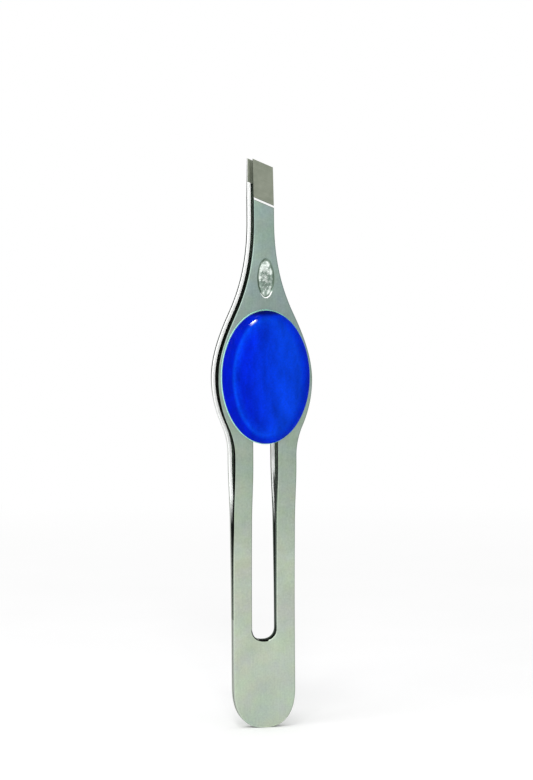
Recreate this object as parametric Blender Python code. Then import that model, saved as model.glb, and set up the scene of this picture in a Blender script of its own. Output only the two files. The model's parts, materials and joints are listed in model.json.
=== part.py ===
# Slanted tweezers: two sprung steel strips welded at the butt, with an oval gel grip pad on each arm.
# The tweezers stand upright: X is across the strips, Y is from the front arm (-Y) to the rear arm (+Y),
# Z runs from the butt to the tips, and the origin is at the bottom of the butt.

import math

import bmesh
import bpy
from mathutils import Vector

MM = 0.001

# Steel strip
STRIP_THICKNESS = 1.2 * MM
EDGE_ROUND = 0.18 * MM
FACE_GAP = 0.05 * MM             # between the two strips where they lie on each other

# Lengths along the strip, from the butt to the tip
HEEL_LENGTH = 33.4 * MM          # butt to the flexure line, in the middle of the sprung length
PARTING_LENGTH = 18.4 * MM       # butt to where the strips start to part
HANDLE_LENGTH = 46.2 * MM        # butt to the start of the oval widening
WIDENING_LENGTH = 5.0 * MM
OVAL_LOWER_LENGTH = 7.7 * MM
OVAL_UPPER_LENGTH = 11.1 * MM
FLARE_LENGTH = 15.4 * MM
NOSE_LENGTH = 10.3 * MM

# Widths of the strip, and how fast it narrows on each side of the oval
HANDLE_WIDTH = 10.5 * MM
WAIST_WIDTH = 12.7 * MM
OVAL_WIDTH = 16.0 * MM
SHOULDER_WIDTH = 9.7 * MM
NOSE_WIDTH = 3.4 * MM
WAIST_SLOPE_SHARE = 0.44
SHOULDER_SLOPE_SHARE = 0.47
BUTT_ROUND_LENGTH = 7.0 * MM     # how far up the rounding of the butt reaches
BUTT_SQUARENESS = 2.45           # 2 is a true half ellipse, more is squarer

# Slot through both strips
SLOT_WIDTH = 4.2 * MM
BUTT_PLATE_LENGTH = 14.8 * MM    # solid steel below the slot
SLOT_UNDER_PAD = 2.6 * MM        # how far the slot runs on under the pad

# Set of the arms
ARM_GAP = 4.4 * MM               # between the inner faces of the open arms
FLEX_GAP = 0.2 * MM              # across the flexure line
SEAT_MARGIN = 0.3 * MM           # straight steel between the end of the bend and the pad
KICK_START_SHARE = 0.57          # where the tighter bend starts, in the length that is bent
KICK_LENGTH_SHARE = 0.32
KICK_SHARE = 0.5                 # part of the arms' spread that the tighter bend gives

# Slanted tip
SLANT_ANGLE = math.radians(23.5)
BEVEL_LENGTH = 6.3 * MM
BEVEL_STEP_LENGTH = 0.45 * MM
BEVEL_STEP_DEPTH = 0.28 * MM
TIP_EDGE = 0.35 * MM             # steel left at the tip
JAW_LENGTH = 3.6 * MM            # of the raised, ground face inside each tip
JAW_STEP_LENGTH = 0.3 * MM
JAW_RAISE = 0.1 * MM

# Grip pads
PAD_RIM = 0.58 * MM              # steel showing on each side of the pad
PAD_LENGTH = 22.2 * MM
PAD_RAISE = 0.55 * MM            # pad centre above the widest line of the oval
PAD_WALL = 0.35 * MM
PAD_SHOULDER_WIDTH = 1.5 * MM    # at the sides of the pad
PAD_SHOULDER_LENGTH = 0.95 * MM  # at its ends
PAD_SHOULDER_HEIGHT = 1.1 * MM
PAD_SHOULDER_TURN = math.radians(55)
PAD_CROWN = 0.55 * MM
BACKING_THICKNESS = 0.25 * MM
BACKING_RIM = 0.14 * MM          # film showing round the pad
LAYER_GAP = 0.02 * MM            # between a pad's layers and its seat

# Spot welds
WELD_DIAMETER = 3.2 * MM
WELD_THICKNESS = 0.5 * MM
WELD_EDGE_DISTANCE = 4.7 * MM
WELD_CLEARANCE = 0.03 * MM

# Facets
SMOOTH_ANGLE = math.radians(28)
BUTT_STEPS = 24
SEGMENT_STEPS = 10
SLOT_END_STEPS = 12
BEND_STEPS = 20
PAD_SEGMENTS = 64
PAD_SHOULDER_STEPS = 6
PAD_CROWN_STEPS = 4
WELD_SEGMENTS = 24
EDGE_SEGMENTS = 2

# Heights worked out from the lengths above
widest_z = HANDLE_LENGTH + WIDENING_LENGTH + OVAL_LOWER_LENGTH
neck_z = widest_z + OVAL_UPPER_LENGTH + FLARE_LENGTH
overall_length = neck_z + NOSE_LENGTH
pad_z = widest_z + PAD_RAISE
slot_top_z = pad_z - PAD_LENGTH / 2 + SLOT_UNDER_PAD
arm_start_z = HEEL_LENGTH + FLEX_GAP / 2
bend_length = pad_z - PAD_LENGTH / 2 - SEAT_MARGIN - PARTING_LENGTH


def material(name, color, roughness, metallic, coat=0.0):
    made = bpy.data.materials.new(name)
    made.use_nodes = True
    shader = made.node_tree.nodes["Principled BSDF"]
    shader.inputs["Base Color"].default_value = (*color, 1)
    shader.inputs["Roughness"].default_value = roughness
    shader.inputs["Metallic"].default_value = metallic
    shader.inputs["Coat Weight"].default_value = coat
    made.diffuse_color = (*color, 1)
    return made


def add_object(name, shape, finish, parent=None):
    mesh = bpy.data.meshes.new(name)
    shape.normal_update()
    bmesh.ops.recalc_face_normals(shape, faces=shape.faces)
    shape.to_mesh(mesh)
    shape.free()
    mesh.materials.append(finish)
    mesh.shade_smooth()
    mesh.set_sharp_from_angle(angle=SMOOTH_ANGLE)
    made = bpy.data.objects.new(name, mesh)
    bpy.context.collection.objects.link(made)
    if parent:
        made.parent = parent
        mesh.transform(parent.matrix_world.inverted())
    return made


def hinge_empty(name, place):
    made = bpy.data.objects.new(name, None)
    made.empty_display_size = HANDLE_WIDTH
    made.location = place
    bpy.context.collection.objects.link(made)
    bpy.context.view_layer.update()
    return made


# Outline of the strip

def smooth_step(share):
    share = min(max(share, 0), 1)
    return share * share * (3 - 2 * share)


def hermite(start, end, start_rate, end_rate, share):
    """A cubic between two values with a set rate of change, per unit of share, at each end."""
    square, cube = share ** 2, share ** 3
    return (
        (2 * cube - 3 * square + 1) * start
        + (cube - 2 * square + share) * start_rate
        + (3 * square - 2 * cube) * end
        + (cube - square) * end_rate
    )


def half_width_stations():
    """(height, half width, slope) where the outline's curves meet, from the handle to the nose."""
    return [
        (HANDLE_LENGTH, HANDLE_WIDTH / 2, 0),
        (HANDLE_LENGTH + WIDENING_LENGTH, WAIST_WIDTH / 2, WAIST_SLOPE_SHARE),
        (widest_z, OVAL_WIDTH / 2, 0),
        (widest_z + OVAL_UPPER_LENGTH, SHOULDER_WIDTH / 2, -SHOULDER_SLOPE_SHARE),
        (neck_z, NOSE_WIDTH / 2, 0),
    ]


def flank_points():
    """Right-hand edge of the strip from the top of the handle to the top of the nose, as (x, z)."""
    points = []
    stations = half_width_stations()
    for (low, low_width, low_slope), (high, high_width, high_slope) in zip(stations, stations[1:]):
        rise = high - low
        for step in range(SEGMENT_STEPS):
            share = step / SEGMENT_STEPS
            width = hermite(low_width, high_width, low_slope * rise, high_slope * rise, share)
            points.append((width, low + rise * share))
    points.append((NOSE_WIDTH / 2, neck_z))
    return points


def butt_points():
    """Rounded butt from the left edge of the handle down and round to its right edge, as (x, z)."""
    points = []
    for step in range(BUTT_STEPS + 1):
        turn = math.pi * (1 + step / BUTT_STEPS)
        across, down = math.cos(turn), math.sin(turn)
        x = math.copysign(abs(across) ** (2 / BUTT_SQUARENESS), across)
        z = -abs(down) ** (2 / BUTT_SQUARENESS)
        points.append((HANDLE_WIDTH / 2 * x, BUTT_ROUND_LENGTH * (1 + z)))
    return points


def slot_end(centre_z, direction):
    """Half-round end of the slot, from its right side to its left, as (x, z)."""
    radius = SLOT_WIDTH / 2
    points = []
    for step in range(SLOT_END_STEPS + 1):
        turn = math.pi * step / SLOT_END_STEPS
        points.append((radius * math.cos(turn), centre_z + direction * radius * math.sin(turn)))
    return points


def heel_outline():
    top = HEEL_LENGTH - FLEX_GAP / 2
    inner = SLOT_WIDTH / 2
    outer = HANDLE_WIDTH / 2
    slot_bottom = slot_end(BUTT_PLATE_LENGTH + inner, -1)
    return (
        butt_points()
        + [(outer, top), (inner, top)]
        + slot_bottom
        + [(-inner, top), (-outer, top)]
    )


def tip_height(x):
    """Height of the slanted tip edge at x. The left-hand corner is the high one."""
    return overall_length - (x + NOSE_WIDTH / 2) * math.tan(SLANT_ANGLE)


def arm_outline():
    right = flank_points()
    left = [(-x, z) for x, z in reversed(right)]
    outer, inner, nose = HANDLE_WIDTH / 2, SLOT_WIDTH / 2, NOSE_WIDTH / 2
    slot_top = slot_end(slot_top_z - inner, 1)
    return (
        [(outer, arm_start_z)]
        + right
        + [(nose, tip_height(nose)), (-nose, tip_height(-nose))]
        + left
        + [(-outer, arm_start_z), (-inner, arm_start_z)]
        + [(x, z) for x, z in reversed(slot_top)]
        + [(inner, arm_start_z)]
    )


# Side shape of the strip

def spread_share(z):
    """Part of the arms' full spread that is reached at height z."""
    glide = (z - PARTING_LENGTH) / bend_length
    kick = (glide - KICK_START_SHARE) / KICK_LENGTH_SHARE
    return KICK_SHARE * smooth_step(kick) + (1 - KICK_SHARE) * smooth_step(glide)


def inner_face(z):
    return FACE_GAP / 2 + spread_share(z) * (ARM_GAP - FACE_GAP) / 2


def thickness_left(x, z):
    """Thickness of the steel at a point of the face, thinned from outside past the slanted shoulder."""
    past = z - (tip_height(x) - BEVEL_LENGTH - BEVEL_STEP_LENGTH)
    if past <= 0:
        return STRIP_THICKNESS
    if past <= BEVEL_STEP_LENGTH:
        return STRIP_THICKNESS - BEVEL_STEP_DEPTH * past / BEVEL_STEP_LENGTH
    start = STRIP_THICKNESS - BEVEL_STEP_DEPTH
    return start - (start - TIP_EDGE) * (past - BEVEL_STEP_LENGTH) / BEVEL_LENGTH


def jaw_raise(x, z):
    """How far the inner face stands proud of the arm at a point, inside the slanted tip."""
    past = z - (tip_height(x) - JAW_LENGTH - JAW_STEP_LENGTH)
    return JAW_RAISE * min(max(past / JAW_STEP_LENGTH, 0), 1)


def bend_point(flat, side):
    """Moves a point of the flat strip, whose Y runs from 0 at its inner face to the thickness, to its place."""
    x, depth, z = flat
    probe = EDGE_ROUND / 2
    lean = math.atan2(inner_face(z + probe) - inner_face(z - probe), 2 * probe)
    share = depth / STRIP_THICKNESS
    out = share * thickness_left(x, z)
    y = inner_face(z) + out * math.cos(lean) - (1 - share) * jaw_raise(x, z)
    return Vector((x, side * y, z - out * math.sin(lean)))


def strip_solid(outline, side, bend_heights, slants):
    """A strip of an outline given as (x, z): extruded, edge-rounded, cut across where it bends, and bent."""
    shape = bmesh.new()
    corners = [shape.verts.new((x, 0, z)) for x, z in outline]
    face = shape.faces.new(corners)
    raised = bmesh.ops.extrude_face_region(shape, geom=[face])["geom"]
    lifted = [part for part in raised if isinstance(part, bmesh.types.BMVert)]
    bmesh.ops.translate(shape, verts=lifted, vec=(0, STRIP_THICKNESS, 0))
    bmesh.ops.recalc_face_normals(shape, faces=shape.faces)
    rims = [edge for edge in shape.edges if abs(edge.verts[0].co.y - edge.verts[1].co.y) < EDGE_ROUND]
    bmesh.ops.bevel(
        shape,
        geom=rims,
        offset=EDGE_ROUND,
        offset_type="OFFSET",
        segments=EDGE_SEGMENTS,
        profile=0.5,
        affect="EDGES",
    )
    cuts = [((0, 0, height), (0, 0, 1)) for height in bend_heights]
    cuts += [((0, 0, height), (math.sin(SLANT_ANGLE), 0, math.cos(SLANT_ANGLE))) for height in slants]
    for place, normal in cuts:
        everything = list(shape.verts) + list(shape.edges) + list(shape.faces)
        bmesh.ops.bisect_plane(shape, geom=everything, dist=EDGE_ROUND / 1000, plane_co=place, plane_no=normal)
    bmesh.ops.triangulate(shape, faces=shape.faces)
    for vert in shape.verts:
        vert.co = bend_point(vert.co, side)
    return shape


def bend_cuts(low, high):
    """Heights between low and high at which the bent length is cut across."""
    cuts = [PARTING_LENGTH + bend_length * step / BEND_STEPS for step in range(BEND_STEPS + 1)]
    return [cut for cut in cuts if low + FLEX_GAP < cut < high - FLEX_GAP]


def slant_cuts():
    """Heights on the centre line of the slanted lines that bound the bevel's shoulder and the jaw's step."""
    steps = [(BEVEL_LENGTH, BEVEL_STEP_LENGTH), (JAW_LENGTH, JAW_STEP_LENGTH)]
    return [tip_height(0) - length - extra for length, step in steps for extra in (step, 0)]


# Weld nuggets, each in a pocket shared by both strips

def weld_places():
    return {
        "spot_weld_lower": WELD_EDGE_DISTANCE,
        "spot_weld_upper": BUTT_PLATE_LENGTH - WELD_EDGE_DISTANCE,
    }


def disc(radius, thickness, height):
    """A disc about the Y axis, centred on the joint face at a height on the centre line."""
    shape = bmesh.new()
    bmesh.ops.create_cone(
        shape, cap_ends=True, segments=WELD_SEGMENTS, radius1=radius, radius2=radius, depth=thickness
    )
    for vert in shape.verts:
        x, y, z = vert.co
        vert.co = (x, z, y + height)
    return shape


def cut_weld_pockets(strip, cutters):
    for cutter in cutters:
        pocket = strip.modifiers.new("weld_pocket", "BOOLEAN")
        pocket.operation = "DIFFERENCE"
        pocket.solver = "EXACT"
        pocket.object = cutter


def weld_cutter(name, height, finish):
    radius = WELD_DIAMETER / 2 + WELD_CLEARANCE
    cutter = add_object(name, disc(radius, WELD_THICKNESS + 2 * WELD_CLEARANCE, height), finish)
    cutter.hide_render = True
    cutter.display_type = "WIRE"
    return cutter


# Grip pads

def pad_ring(shape, y, half_width, half_length):
    ring = []
    for step in range(PAD_SEGMENTS):
        turn = 2 * math.pi * step / PAD_SEGMENTS
        ring.append(shape.verts.new((half_width * math.cos(turn), y, pad_z + half_length * math.sin(turn))))
    return ring


def loft(shape, rings):
    for low, high in zip(rings, rings[1:]):
        for step in range(PAD_SEGMENTS):
            after = (step + 1) % PAD_SEGMENTS
            shape.faces.new((low[step], low[after], high[after], high[step]))


def shoulder_profile():
    """(share of the shoulder's width, share of its height) from the top of the wall to the crown's edge."""
    turns = [PAD_SHOULDER_TURN * step / PAD_SHOULDER_STEPS for step in range(PAD_SHOULDER_STEPS + 1)]
    whole = 1 - math.cos(PAD_SHOULDER_TURN)
    return [((1 - math.cos(turn)) / whole, math.sin(turn) / math.sin(PAD_SHOULDER_TURN)) for turn in turns]


def gel_pad(side, base_y, half_width, half_length):
    """A dome with a short wall, a rounded shoulder and a crown that meets it in a soft crease."""
    shape = bmesh.new()
    rings = [pad_ring(shape, side * base_y, half_width, half_length)]
    for across, up in shoulder_profile():
        y = side * (base_y + PAD_WALL + PAD_SHOULDER_HEIGHT * up)
        width = half_width - PAD_SHOULDER_WIDTH * across
        length = half_length - PAD_SHOULDER_LENGTH * across
        rings.append(pad_ring(shape, y, width, length))
    edge_y = base_y + PAD_WALL + PAD_SHOULDER_HEIGHT
    for step in range(1, PAD_CROWN_STEPS):
        share = 1 - step / PAD_CROWN_STEPS
        y = side * (edge_y + PAD_CROWN * (1 - share ** 2))
        width = (half_width - PAD_SHOULDER_WIDTH) * share
        rings.append(pad_ring(shape, y, width, (half_length - PAD_SHOULDER_LENGTH) * share))
    loft(shape, rings)
    shape.faces.new(rings[0])
    top = shape.verts.new((0, side * (edge_y + PAD_CROWN), pad_z))
    for step in range(PAD_SEGMENTS):
        shape.faces.new((rings[-1][step], rings[-1][(step + 1) % PAD_SEGMENTS], top))
    return shape


def backing(side, base_y, half_width, half_length):
    shape = bmesh.new()
    rings = [
        pad_ring(shape, side * (base_y + height), half_width + BACKING_RIM, half_length + BACKING_RIM)
        for height in (0, BACKING_THICKNESS)
    ]
    loft(shape, rings)
    for ring in rings:
        shape.faces.new(ring)
    return shape


# Assembly

def build_arm(word, side, steel, gel, film, cutters):
    """One strip of the pair with its pad: side -1 is the front arm, 1 the rear arm."""
    heel_shape = strip_solid(heel_outline(), side, bend_cuts(0, HEEL_LENGTH), [])
    heel = add_object(f"{word}_heel", heel_shape, steel)
    cut_weld_pockets(heel, cutters)

    hinge_y = side * (inner_face(HEEL_LENGTH) + STRIP_THICKNESS / 2)
    hinge = hinge_empty(f"{word}_flexure_axis", (0, hinge_y, HEEL_LENGTH))
    arm_cuts = bend_cuts(HEEL_LENGTH, overall_length)
    arm_shape = strip_solid(arm_outline(), side, arm_cuts, slant_cuts())
    add_object(f"{word}_arm", arm_shape, steel, hinge)

    half_width = OVAL_WIDTH / 2 - PAD_RIM
    half_length = PAD_LENGTH / 2
    seat_y = ARM_GAP / 2 + STRIP_THICKNESS + LAYER_GAP
    add_object(f"{word}_pad_backing", backing(side, seat_y, half_width, half_length), film, hinge)
    gel_y = seat_y + BACKING_THICKNESS + LAYER_GAP
    add_object(f"{word}_gel_pad", gel_pad(side, gel_y, half_width, half_length), gel, hinge)


def build():
    for old in list(bpy.data.objects):
        bpy.data.objects.remove(old)
    steel = material("satin_stainless_steel", (0.52, 0.56, 0.50), 0.34, 1.0)
    nugget = material("weld_steel", (0.42, 0.42, 0.40), 0.6, 1.0)
    gel = material("blue_gel", (0.003, 0.045, 0.62), 0.12, 0.0, coat=1.0)
    film = material("blue_film", (0.003, 0.03, 0.42), 0.5, 0.0)

    cutters = [weld_cutter(f"{name}_cutter", height, nugget) for name, height in weld_places().items()]
    for name, height in weld_places().items():
        add_object(name, disc(WELD_DIAMETER / 2, WELD_THICKNESS, height), nugget)
    build_arm("front", -1, steel, gel, film, cutters)
    build_arm("rear", 1, steel, gel, film, cutters)


build()
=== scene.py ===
# Slanted tweezers with oval gel grip pads: the finished surfaces, modelled round the fixed frame.
import json
import math

import bpy
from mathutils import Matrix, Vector


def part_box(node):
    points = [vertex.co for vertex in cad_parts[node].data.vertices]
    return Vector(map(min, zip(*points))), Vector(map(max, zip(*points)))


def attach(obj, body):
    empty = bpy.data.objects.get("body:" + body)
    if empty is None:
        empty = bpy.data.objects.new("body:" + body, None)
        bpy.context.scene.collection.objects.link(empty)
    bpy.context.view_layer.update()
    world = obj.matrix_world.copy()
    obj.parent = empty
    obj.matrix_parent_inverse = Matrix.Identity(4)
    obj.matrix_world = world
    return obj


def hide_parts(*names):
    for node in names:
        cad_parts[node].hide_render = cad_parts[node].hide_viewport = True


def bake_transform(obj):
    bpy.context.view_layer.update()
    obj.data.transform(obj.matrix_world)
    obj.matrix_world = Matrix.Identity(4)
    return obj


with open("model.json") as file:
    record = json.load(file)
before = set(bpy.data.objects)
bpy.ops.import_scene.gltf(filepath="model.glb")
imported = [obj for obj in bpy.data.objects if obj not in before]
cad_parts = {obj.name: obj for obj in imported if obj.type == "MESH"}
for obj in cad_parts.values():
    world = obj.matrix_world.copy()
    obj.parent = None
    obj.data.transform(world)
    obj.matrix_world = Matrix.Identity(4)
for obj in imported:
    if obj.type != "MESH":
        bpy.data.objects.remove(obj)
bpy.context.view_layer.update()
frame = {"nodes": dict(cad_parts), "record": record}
mm = 0.001
hair = mm / 1e5                    # points nearer than this are one, in fine cuts
weldReach = mm / 1000              # the same, where whole outlines are joined
slack = mm / 100                   # added to a size where faces are picked by their place

heelLow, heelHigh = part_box("front_heel")
armLow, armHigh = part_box("front_arm")
padLow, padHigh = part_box("front_gel_pad")
totalLength = armHigh.z
mounts = {mount["name"]: Vector(mount["pos_m"]) for mount in frame["record"]["mounts"]}
seamHalf = -heelHigh.y             # half the gap between the closed strips
steelThickness = -mounts["front_butt_face"].y - seamHalf
openHalf = -armLow.y - steelThickness  # half the gap between the open arms
print("frame loaded, length", round(totalLength / mm, 1), "mm")


# Handling of pieces

def leaveEdit():
    bpy.ops.object.mode_set(mode="OBJECT")


def makeActive(piece):
    if bpy.context.object and bpy.context.object.mode != "OBJECT":
        leaveEdit()
    bpy.ops.object.select_all(action="DESELECT")
    piece.select_set(True)
    bpy.context.view_layer.objects.active = piece


def enterEdit(piece, kind="VERT"):
    makeActive(piece)
    bpy.ops.object.mode_set(mode="EDIT")
    bpy.ops.mesh.select_mode(type=kind)


def pick(piece, kind, rule):
    # enters edit mode with only the parts selected that the rule takes
    enterEdit(piece, kind)
    bpy.ops.mesh.select_all(action="DESELECT")
    leaveEdit()
    parts = {"VERT": piece.data.vertices, "EDGE": piece.data.edges, "FACE": piece.data.polygons}[kind]
    for part in parts:
        part.select = rule(part)
    bpy.ops.object.mode_set(mode="EDIT")


def selectWhole():
    bpy.ops.mesh.select_all(action="SELECT")


def pickAll(piece):
    enterEdit(piece)
    selectWhole()


def extrudeBy(way):
    bpy.ops.mesh.extrude_region_move(TRANSFORM_OT_translate={"value": way})


def moveBy(way):
    bpy.ops.transform.translate(value=way)


def scaleBy(factors):
    bpy.ops.transform.resize(value=factors, center_override=(0, 0, 0))


def named(name):
    # the piece that was just added
    piece = bpy.context.object
    piece.name = piece.data.name = name
    return piece


def startPoint(name):
    # a piece of one vertex at the origin, left in edit mode
    bpy.ops.mesh.primitive_plane_add(size=mm, location=(0, 0, 0))
    piece = named(name)
    pickAll(piece)
    bpy.ops.mesh.merge(type="CENTER")
    return piece


def drawLoop(name, points):
    # one vertex, drawn round the points by extruding it, then filled
    piece = startPoint(name)
    moveBy(points[0])
    for here, there in zip(points, points[1:] + points[:1]):
        extrudeBy([end - start for start, end in zip(here, there)])
    selectWhole()
    bpy.ops.mesh.remove_doubles(threshold=weldReach)
    bpy.ops.mesh.edge_face_add()
    return piece


def applyPlace():
    bpy.ops.object.transform_apply(location=True, rotation=True, scale=True)


def applyModifier(piece, kind, settings):
    made = piece.modifiers.new(kind.title(), kind)
    for key, value in settings.items():
        setattr(made, key, value)
    makeActive(piece)
    bpy.ops.object.modifier_apply(modifier=made.name)


def carve(piece, cutter, materials="TRANSFER"):
    # takes the cutter's form away from the piece, with or without its finishes
    applyModifier(piece, "BOOLEAN", {
        "operation": "DIFFERENCE", "object": cutter, "solver": "EXACT", "material_mode": materials})
    bpy.data.objects.remove(cutter)


def placeOf(piece, finish):
    return list(piece.data.materials).index(finish)


def finishPicked(piece, finish):
    piece.active_material_index = placeOf(piece, finish)
    bpy.ops.object.material_slot_assign()
    leaveEdit()


def wears(piece, face, finish):
    return face.material_index == placeOf(piece, finish)


def giveFinish(piece, finish, rule):
    # puts one of the piece's finishes on the faces that the rule takes
    pick(piece, "FACE", rule)
    finishPicked(piece, finish)


def cleanShell(piece, distance):
    pickAll(piece)
    bpy.ops.mesh.remove_doubles(threshold=distance)
    bpy.ops.mesh.normals_make_consistent(inside=False)
    leaveEdit()


def settle(piece, angle):
    # puts the object's place into its mesh, and smooths it up to an angle
    makeActive(piece)
    applyPlace()
    bpy.ops.object.shade_smooth_by_angle(angle=math.radians(angle))


def copyPiece(piece, name):
    made = piece.copy()
    made.data = piece.data.copy()
    made.name = made.data.name = name
    bpy.context.scene.collection.objects.link(made)
    return made


# Shader writing

usual = (0.30, 0.70)               # where most of a noise's values lie
core = (0.35, 0.65)                # the middle of them, for more contrast
fineShare = 0.6                    # of the finest grain in a mix of two
cloudy = (4.0, 0.6)                # detail and roughness of a noise with soft clouds
streaky = (3.0, 0.6)               # the same for fine lines


class Wire:
    # a node's output, on which sums and products can be written
    def __init__(self, graph, socket):
        self.graph = graph
        self.socket = socket

    def maths(self, operation, first, second=0.0):
        return self.graph.node("ShaderNodeMath", {"operation": operation}, {0: first, 1: second})

    def __add__(self, other):
        return self.maths("ADD", self, other)

    def __radd__(self, other):
        return self.maths("ADD", other, self)

    def __sub__(self, other):
        return self.maths("SUBTRACT", self, other)

    def __rsub__(self, other):
        return self.maths("SUBTRACT", other, self)

    def __mul__(self, other):
        return self.maths("MULTIPLY", self, other)

    def __rmul__(self, other):
        return self.maths("MULTIPLY", other, self)

    def __truediv__(self, other):
        return self.maths("DIVIDE", self, other)

    def root(self):
        return self.maths("SQRT", self)

    def orMore(self, other):
        return self.maths("MAXIMUM", self, other)


class Graph:
    # a node tree, with one way to add any node and join it up
    def __init__(self, tree):
        self.tree = tree

    def node(self, kind, settings, sockets, out=0):
        made = self.tree.nodes.new(kind)
        for key, value in settings.items():
            if key == "stops":
                self.setStops(made.color_ramp, value)
            else:
                setattr(made, key, value)
        for key, value in sockets.items():
            self.feed(made.inputs[key], value)
        return Wire(self, made.outputs[out])

    def setStops(self, ramp, stops):
        while len(ramp.elements) > 1:
            ramp.elements.remove(ramp.elements[-1])
        for index, (place, colour) in enumerate(stops):
            stop = ramp.elements[0] if index == 0 else ramp.elements.new(place)
            stop.position = place
            stop.color = (*colour, 1)

    def feed(self, socket, value):
        if isinstance(value, Wire):
            self.tree.links.new(value.socket, socket)
        else:
            socket.default_value = value

    def shownRay(self):
        # 1 for what the camera sees, straight or in metal, and 0 for the light that falls on things
        shown = [self.node("ShaderNodeLightPath", {}, {}, out=f"Is {kind} Ray")
                 for kind in ("Camera", "Glossy", "Transmission")]
        return shown[0].orMore(shown[1]).orMore(shown[2])


class Finish(Graph):
    # a material with one Principled shader
    def __init__(self, name, constants):
        self.material = bpy.data.materials.new(name)
        self.material.use_nodes = True
        super().__init__(self.material.node_tree)
        self.shader = self.tree.nodes["Principled BSDF"]
        for key, value in constants.items():
            self.shader.inputs[key].default_value = value

    def wear(self, name, value):
        # joins a varying value to one socket of the shader
        self.feed(self.shader.inputs[name], value)

    def place(self, scale=(1, 1, 1), turn=(0, 0, 0)):
        coordinates = self.node("ShaderNodeTexCoord", {}, {}, out="Object")
        sockets = {"Vector": coordinates, "Scale": scale, "Rotation": turn}
        return self.node("ShaderNodeMapping", {}, sockets)

    def axis(self, name):
        return self.node("ShaderNodeSeparateXYZ", {}, {0: self.place()}, out=name)

    def noise(self, vector, scale, detail=2.0, roughness=0.5):
        values = {"Vector": vector, "Scale": scale, "Detail": detail, "Roughness": roughness}
        return self.node("ShaderNodeTexNoise", {}, values, out="Fac")

    def spread(self, value, low, high, fromLow=usual[0], fromHigh=usual[1]):
        sockets = {"Value": value, "From Min": fromLow, "From Max": fromHigh, "To Min": low, "To Max": high}
        return self.node("ShaderNodeMapRange", {}, sockets, out="Result")

    def ramp(self, value, stops):
        return self.node("ShaderNodeValToRGB", {"stops": stops}, {"Fac": value}, out="Color")

    def mixColour(self, share, first, second, blend="MIX"):
        first, second = (colour if isinstance(colour, Wire) else (*colour, 1) for colour in (first, second))
        settings = {"data_type": "RGBA", "blend_type": blend}
        return self.node("ShaderNodeMix", settings, {"Factor": share, 6: first, 7: second}, out=2)

    def shaded(self, colour, shade):
        grey = self.node("ShaderNodeCombineColor", {}, {0: shade, 1: shade, 2: shade})
        return self.mixColour(1.0, colour, grey, "MULTIPLY")

    def grain(self, size, detail=2.0, roughness=0.5):
        # noise whose size is one length, or one each along X, Y and Z
        if isinstance(size, tuple):
            return self.noise(self.place(tuple(1 / length for length in size)), 1.0, detail, roughness)
        return self.noise(self.place(), 1 / size, detail, roughness)

    def twoTone(self, share, look):
        self.wear("Base Color", self.mixColour(share, look["colour"], look["pale"]))

    def roughen(self, value, look):
        self.wear("Roughness", self.spread(value, *look["roughness"]))

    def bump(self, value, distance):
        self.wear("Normal", self.node("ShaderNodeBump", {}, {"Height": value, "Distance": distance}))

    def textured(self, grain, look):
        # the whole material, rough and raised as its grain is
        self.roughen(grain, look)
        self.bump(grain, look["grainHeight"])
        return self.material

    def streaked(self, colour, grain, look):
        # the same in a colour that the grain shades
        self.wear("Base Color", self.shaded(colour, self.spread(grain, *look["grainShade"])))
        return self.textured(grain, look)

    def mottled(self, grain, patches, look):
        # the same in two tones, mixed by the grain and by larger patches
        mixed = grain * fineShare + patches * (1 - fineShare)
        self.twoTone(self.spread(mixed, 0.0, 1.0, *core), look)
        return self.textured(grain, look)


# Finishes of the steel

tip = {
    "slant": math.radians(23.5),
    "bevelLength": 6.3 * mm,
    "shoulderLength": 0.49 * mm,
    "shoulderDepth": 0.28 * mm,
    "shoulderHollow": 0.015 * mm,  # how far its slope sinks in the middle
    "shoulderSteps": 8,
    "edge": 0.35 * mm,             # steel left at the tip
    "wheelWidth": 13.6 * mm,       # of the bar that grinds it, well past the strip's sides
    "jawLength": 3.6 * mm,         # of the raised face inside the tip
    "jawStep": 0.3 * mm,
    "jawRaise": 0.1 * mm,
    "lineWidth": 0.04 * mm,        # of the dark lines beside the shoulder of the bevel
}

satin = {
    "colours": [                   # share of the length from the butt, and the colour there, lighter towards the butt and darkest below the neck
        (0.00, (0.443, 0.518, 0.432)),
        (0.28, (0.429, 0.488, 0.397)),
        (0.45, (0.327, 0.403, 0.325)),
        (0.73, (0.238, 0.312, 0.292)),
        (0.83, (0.268, 0.352, 0.316)),
        (1.00, (0.285, 0.385, 0.335)),
    ],
    "tints": [                     # pairs of faint tints that drift over the steel, and their size
        ((0.975, 1.012, 0.985), (1.035, 0.985, 1.015), 3.5 * mm),
        ((1.000, 0.995, 1.055), (1.000, 1.005, 0.945), 2.4 * mm),
    ],
    "cloudSize": 5.0 * mm,
    "cloudDepth": 0.19,
    "grainSize": (0.07 * mm, 0.07 * mm, 3.0 * mm),
    "blastSize": 0.30 * mm,
    "shares": (0.40, 0.25, 0.35),  # of clouds, grain and blasting in its shade
    "roughness": (0.28, 0.42),
    "scratchHeight": 0.003 * mm,
}

rim = {                            # rounded edges, polished by tumbling; their steel is painted lighter as a highlight
    "paintedLight": 1.22,
    "farPaintedShade": 0.74,            # painted shade on the right-hand edges, which turn away from the lamps
    "roughness": (0.14, 0.24),
}


def steelFinish(name, edgeShine=1.0):
    # at an edge shine of 0 the steel stays dark where it is seen edge-on
    return Finish(name, {"Metallic": 1.0, "IOR": 2.5, "Specular Tint": (edgeShine, edgeShine, edgeShine, 1)})


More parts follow.
